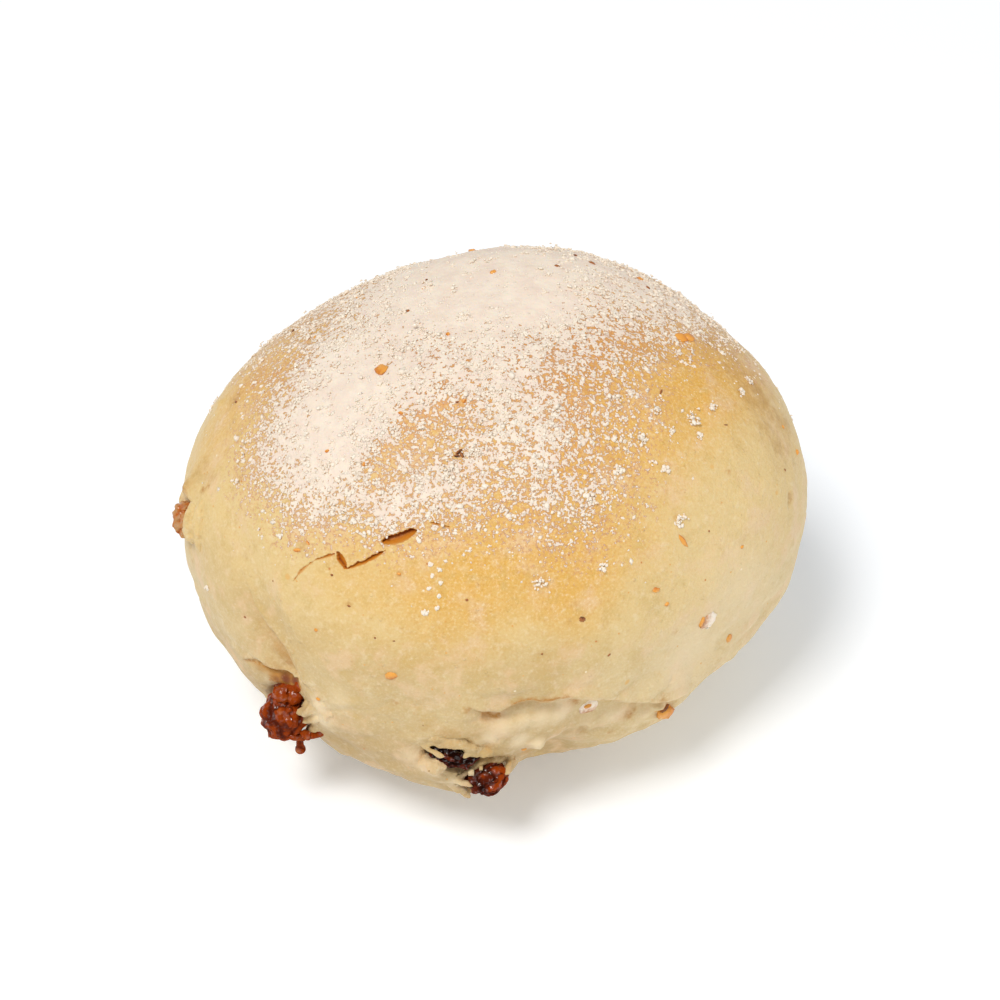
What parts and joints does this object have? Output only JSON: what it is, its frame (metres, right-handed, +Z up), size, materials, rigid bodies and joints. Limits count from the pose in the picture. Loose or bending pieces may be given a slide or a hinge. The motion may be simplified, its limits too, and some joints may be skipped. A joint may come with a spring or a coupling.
{
  "type": "raisin bun",
  "caption": "Hand-rounded domed raisin bun with a flour-dusted top, a tuck fold and a torn crack in its skin, and raisins that break through its side; eaten as a bread roll.",
  "frame": {"origin": "middle of the bun's plan box, on the table that it rests on", "axes": "+Z up, -Y to the front with the tuck fold and the raisins, +X to the right seen from the front"},
  "size_m": [0.098, 0.0876, 0.0708],
  "materials": {
    "crust": "matte baked crust, pale cream to golden, dusted with white flour",
    "raisin": "shrivelled sticky skin, dark red-brown, glossy"
  },
  "bodies": {
    "root": {"bun": "crust", "raisin_left": "raisin", "raisin_front_deep": "raisin", "raisin_front": "raisin", "raisin_side": "raisin"}
  },
  "joints": []
}
